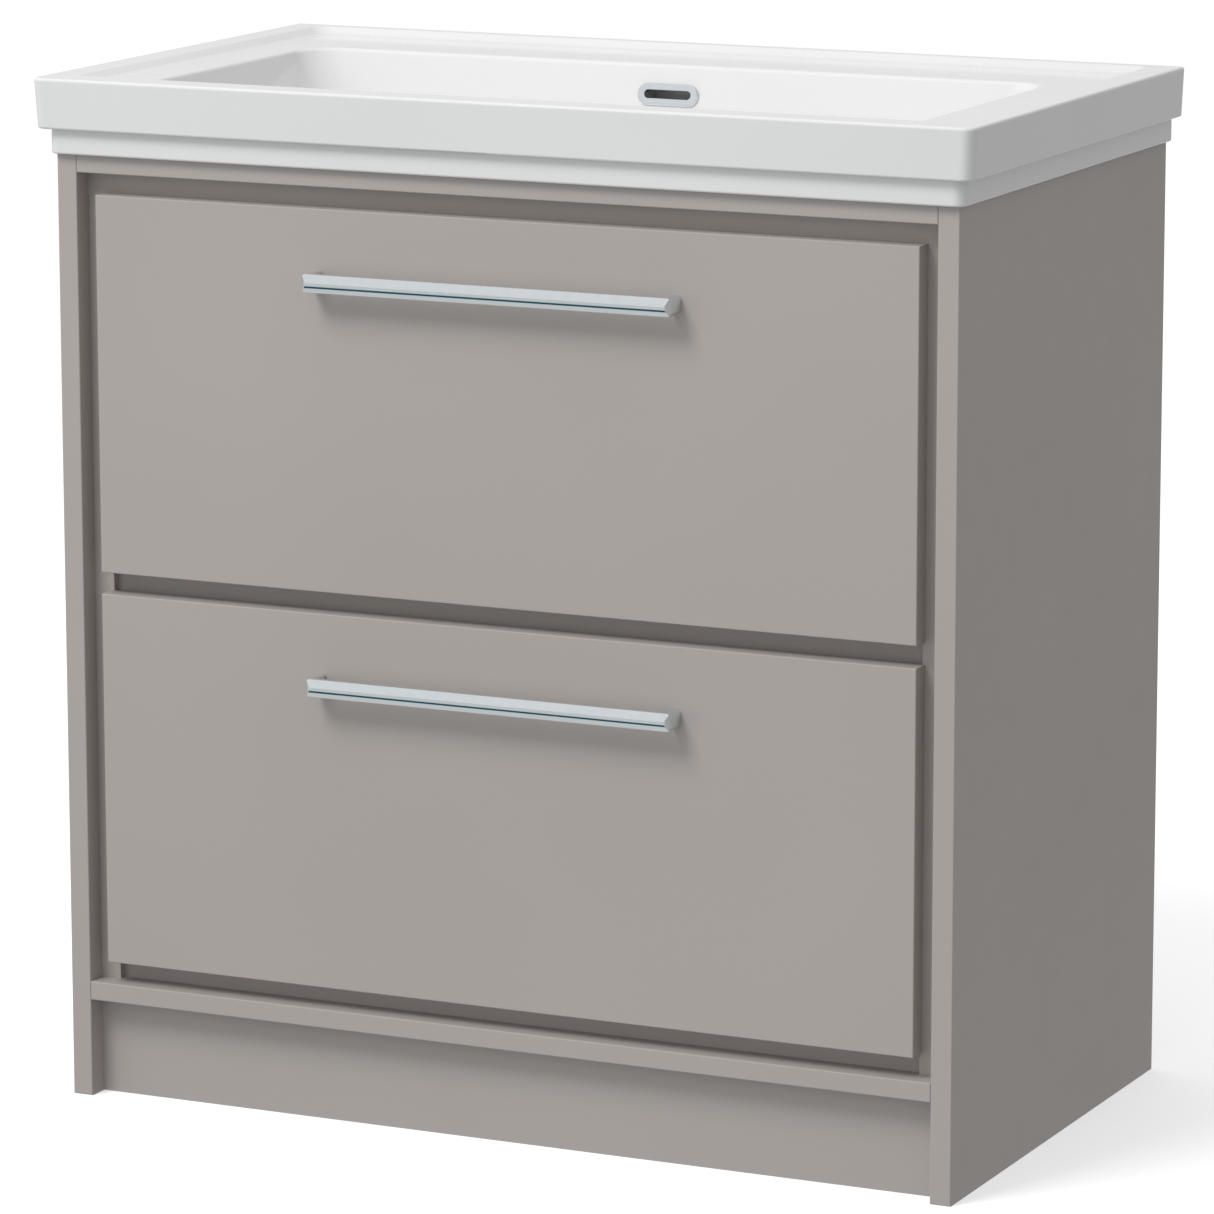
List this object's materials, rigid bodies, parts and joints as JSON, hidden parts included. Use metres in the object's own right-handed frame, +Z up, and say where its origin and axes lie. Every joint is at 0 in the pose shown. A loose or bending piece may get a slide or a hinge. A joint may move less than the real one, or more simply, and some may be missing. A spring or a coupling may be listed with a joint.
{
  "type": "bathroom vanity cabinet",
  "caption": "Floor-standing bathroom vanity cabinet: framed carcass, sliding drawers with chrome bar handles, and a rectangular ceramic basin on top.",
  "frame": {"origin": "on the floor, under the middle of the overall width and depth, handles included", "axes": "+X to the right seen from the front, +Y towards the wall, +Z up"},
  "size_m": [0.8318, 0.479, 0.863],
  "materials": {
    "grey_lacquered_board": "satin warm-grey lacquer on fibreboard",
    "grey_melamine_board": "matt melamine on chipboard",
    "dowel_beech": "bare beech",
    "zinc_plated_steel": "bright zinc plate",
    "polished_chrome": "mirror polish",
    "white_glazed_ceramic": "gloss white glaze"
  },
  "bodies": {
    "cabinet": {"outer_side_left": "grey_lacquered_board", "outer_side_right": "grey_lacquered_board", "inner_side_left": "grey_lacquered_board", "inner_side_right": "grey_lacquered_board", "top_front_rail": "grey_lacquered_board", "bottom_panel": "grey_lacquered_board", "plinth": "grey_lacquered_board", "inner_top_rail": "grey_lacquered_board", "middle_rail": "grey_lacquered_board", "lower_rail": "grey_lacquered_board", "rear_top_rail": "grey_lacquered_board", "rear_bottom_rail": "grey_lacquered_board", "panel_dowels": "dowel_beech", "rail_connector_screws": "zinc_plated_steel", "panel_screws": "zinc_plated_steel", "corner_brackets": "zinc_plated_steel", "bracket_screws": "zinc_plated_steel", "basin": "white_glazed_ceramic", "overflow_ring": "polished_chrome", "upper_drawer_runner_fixed_left": "zinc_plated_steel", "upper_drawer_runner_fixed_right": "zinc_plated_steel", "upper_drawer_runner_cabinet_screws": "zinc_plated_steel", "lower_drawer_runner_fixed_left": "zinc_plated_steel", "lower_drawer_runner_fixed_right": "zinc_plated_steel", "lower_drawer_runner_cabinet_screws": "zinc_plated_steel"},
    "upper_drawer": {"upper_drawer_front": "grey_lacquered_board", "upper_drawer_side_left": "grey_melamine_board", "upper_drawer_side_right": "grey_melamine_board", "upper_drawer_bottom": "grey_melamine_board", "upper_drawer_handle": "polished_chrome", "upper_drawer_handle_screws": "zinc_plated_steel", "upper_drawer_dowels": "dowel_beech", "upper_drawer_runner_slide_left": "zinc_plated_steel", "upper_drawer_runner_slide_right": "zinc_plated_steel", "upper_drawer_runner_drawer_screws": "zinc_plated_steel", "upper_drawer_notch_front": "grey_melamine_board", "upper_drawer_notch_left": "grey_melamine_board", "upper_drawer_notch_right": "grey_melamine_board", "upper_drawer_back_left": "grey_melamine_board", "upper_drawer_back_right": "grey_melamine_board"},
    "upper_drawer_runner_middle": {"upper_drawer_runner_middle_left": "zinc_plated_steel", "upper_drawer_runner_middle_right": "zinc_plated_steel"},
    "upper_drawer_runner_outer_balls": {"upper_drawer_runner_outer_balls": "zinc_plated_steel"},
    "upper_drawer_runner_inner_balls": {"upper_drawer_runner_inner_balls": "zinc_plated_steel"},
    "lower_drawer": {"lower_drawer_front": "grey_lacquered_board", "lower_drawer_side_left": "grey_melamine_board", "lower_drawer_side_right": "grey_melamine_board", "lower_drawer_bottom": "grey_melamine_board", "lower_drawer_handle": "polished_chrome", "lower_drawer_handle_screws": "zinc_plated_steel", "lower_drawer_dowels": "dowel_beech", "lower_drawer_runner_slide_left": "zinc_plated_steel", "lower_drawer_runner_slide_right": "zinc_plated_steel", "lower_drawer_runner_drawer_screws": "zinc_plated_steel", "lower_drawer_back": "grey_melamine_board"},
    "lower_drawer_runner_middle": {"lower_drawer_runner_middle_left": "zinc_plated_steel", "lower_drawer_runner_middle_right": "zinc_plated_steel"},
    "lower_drawer_runner_outer_balls": {"lower_drawer_runner_outer_balls": "zinc_plated_steel"},
    "lower_drawer_runner_inner_balls": {"lower_drawer_runner_inner_balls": "zinc_plated_steel"}
  },
  "joints": [
    {"name": "upper_drawer_slide", "type": "slide", "parent": "cabinet", "child": "upper_drawer", "axis": [0, -1, 0], "range_m": [0, 0.38]},
    {"name": "upper_drawer_runner_middle_slide", "type": "slide", "parent": "cabinet", "child": "upper_drawer_runner_middle", "axis": [0, -1, 0], "range_m": [0, 0.19]},
    {"name": "upper_drawer_runner_outer_balls_slide", "type": "slide", "parent": "cabinet", "child": "upper_drawer_runner_outer_balls", "axis": [0, -1, 0], "range_m": [0, 0.095]},
    {"name": "upper_drawer_runner_inner_balls_slide", "type": "slide", "parent": "cabinet", "child": "upper_drawer_runner_inner_balls", "axis": [0, -1, 0], "range_m": [0, 0.285]},
    {"name": "lower_drawer_slide", "type": "slide", "parent": "cabinet", "child": "lower_drawer", "axis": [0, -1, 0], "range_m": [0, 0.38]},
    {"name": "lower_drawer_runner_middle_slide", "type": "slide", "parent": "cabinet", "child": "lower_drawer_runner_middle", "axis": [0, -1, 0], "range_m": [0, 0.19]},
    {"name": "lower_drawer_runner_outer_balls_slide", "type": "slide", "parent": "cabinet", "child": "lower_drawer_runner_outer_balls", "axis": [0, -1, 0], "range_m": [0, 0.095]},
    {"name": "lower_drawer_runner_inner_balls_slide", "type": "slide", "parent": "cabinet", "child": "lower_drawer_runner_inner_balls", "axis": [0, -1, 0], "range_m": [0, 0.285]}
  ],
  "couplings": [
    {"joint": "upper_drawer_runner_middle_slide", "follows": "upper_drawer_slide", "ratio": 0.5},
    {"joint": "upper_drawer_runner_outer_balls_slide", "follows": "upper_drawer_slide", "ratio": 0.25},
    {"joint": "upper_drawer_runner_inner_balls_slide", "follows": "upper_drawer_slide", "ratio": 0.75},
    {"joint": "lower_drawer_runner_middle_slide", "follows": "lower_drawer_slide", "ratio": 0.5},
    {"joint": "lower_drawer_runner_outer_balls_slide", "follows": "lower_drawer_slide", "ratio": 0.25},
    {"joint": "lower_drawer_runner_inner_balls_slide", "follows": "lower_drawer_slide", "ratio": 0.75}
  ]
}
